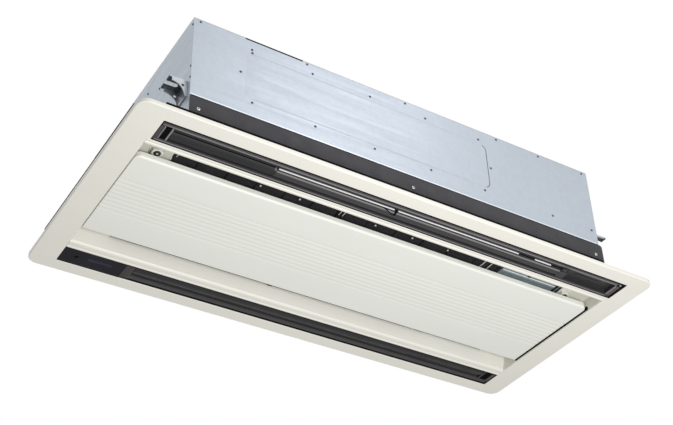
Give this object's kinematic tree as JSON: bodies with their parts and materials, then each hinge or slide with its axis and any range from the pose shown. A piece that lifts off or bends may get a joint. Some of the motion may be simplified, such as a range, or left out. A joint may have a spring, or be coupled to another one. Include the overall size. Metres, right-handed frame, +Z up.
{
  "type": "ceiling cassette air conditioner",
  "caption": "Two-way ceiling cassette air conditioner: galvanised casing on hanger brackets, white panel with a flat hinged intake grille and a dark louvred outlet along each long side.",
  "frame": {"origin": "centre of the ceiling plane, the plane that the panel's rim presses against", "axes": "+Z up into the ceiling void, X along the unit with the pipes at +X, +Y towards the side with the receiver window"},
  "size_m": [1.43, 0.68, 0.342],
  "materials": {
    "zinc_sheet": "bright galvanised sheet",
    "end_zinc_sheet": "dull galvanised sheet",
    "plain_steel": "zinc-plated pressed steel",
    "white_plastic": "warm white moulding, fine satin",
    "recess_plastic": "warm grey moulding",
    "charcoal_plastic": "charcoal moulding, satin",
    "strip_plastic": "dark grey trim",
    "black_plastic": "black moulding",
    "window_gloss": "glossy dark blue-black lens",
    "foam": "moulded bead foam",
    "coil_fins": "thin bare fins",
    "copper": "bare copper tube",
    "brass": "machined brass",
    "circuit_board": "green laminate"
  },
  "bodies": {
    "casing": {"bell_mouth_left": "black_plastic", "bell_mouth_right": "black_plastic", "cable_gland": "black_plastic", "casing_end_left": "end_zinc_sheet", "casing_end_right": "end_zinc_sheet", "casing_side_far": "zinc_sheet", "casing_side_near": "zinc_sheet", "casing_top": "zinc_sheet", "coil_far": "coil_fins", "coil_near": "coil_fins", "drain_pan": "foam", "drain_pipe": "black_plastic", "drain_pump": "white_plastic", "electric_box": "zinc_sheet", "electric_box_cover": "zinc_sheet", "fan_motor_left": "end_zinc_sheet", "fan_motor_right": "end_zinc_sheet", "filter_left": "black_plastic", "filter_rail": "white_plastic", "filter_right": "black_plastic", "float_switch": "white_plastic", "gas_flare_nut": "brass", "gas_pipework": "copper", "grille_catch_left": "charcoal_plastic", "grille_catch_right": "charcoal_plastic", "hanger_left_far": "plain_steel", "hanger_left_near": "plain_steel", "hanger_right_far": "plain_steel", "hanger_right_near": "plain_steel", "hinge_pin_left": "plain_steel", "hinge_pin_right": "plain_steel", "liquid_flare_nut": "brass", "liquid_pipework": "copper", "louvre_motor_far": "black_plastic", "louvre_motor_near": "black_plastic", "motor_bracket_left": "zinc_sheet", "motor_bracket_right": "zinc_sheet", "outlet_frame_far": "charcoal_plastic", "outlet_frame_near": "charcoal_plastic", "panel_band_far": "white_plastic", "panel_band_near": "white_plastic", "panel_cap_left": "white_plastic", "panel_cap_right": "white_plastic", "panel_rail_far": "white_plastic", "panel_rail_near": "white_plastic", "receiver_board": "circuit_board", "receiver_window": "window_gloss", "recess_plate_left": "recess_plastic", "recess_plate_right": "recess_plastic", "side_strip_far": "strip_plastic", "side_strip_near": "strip_plastic"},
    "louvre_near": {"louvre_near": "charcoal_plastic"},
    "louvre_far": {"louvre_far": "charcoal_plastic"},
    "grille": {"intake_grille": "white_plastic"},
    "fan_left": {"fan_wheel_left": "charcoal_plastic", "fan_shaft_left": "plain_steel"},
    "fan_right": {"fan_wheel_right": "charcoal_plastic", "fan_shaft_right": "plain_steel"},
    "button": {"manual_button": "charcoal_plastic"},
    "float": {"float": "foam"}
  },
  "joints": [
    {"name": "louvre_near_tilt", "type": "hinge", "parent": "casing", "child": "louvre_near", "pos_m": [0, -0.252, 0.003], "axis": [1, 0, 0], "range_deg": [0, 65]},
    {"name": "louvre_far_tilt", "type": "hinge", "parent": "casing", "child": "louvre_far", "pos_m": [0, 0.252, 0.003], "axis": [-1, 0, 0], "range_deg": [0, 65]},
    {"name": "grille_open", "type": "hinge", "parent": "casing", "child": "grille", "pos_m": [0, 0.141, 0.0165], "axis": [1, 0, 0], "range_deg": [0, 85]},
    {"name": "fan_left_spin", "type": "hinge", "parent": "casing", "child": "fan_left", "pos_m": [-0.33865, 0, 0.16], "axis": [0, 0, 1], "continuous": true},
    {"name": "fan_right_spin", "type": "hinge", "parent": "casing", "child": "fan_right", "pos_m": [0.1265, 0, 0.16], "axis": [0, 0, 1], "continuous": true},
    {"name": "manual_button_press", "type": "slide", "parent": "casing", "child": "button", "axis": [0, 0, 1], "range_m": [0, 0.0015], "stiffness_N_per_m": 400, "springref_m": -0.002},
    {"name": "float_rise", "type": "slide", "parent": "casing", "child": "float", "axis": [0, 0, 1], "range_m": [0, 0.01]}
  ]
}
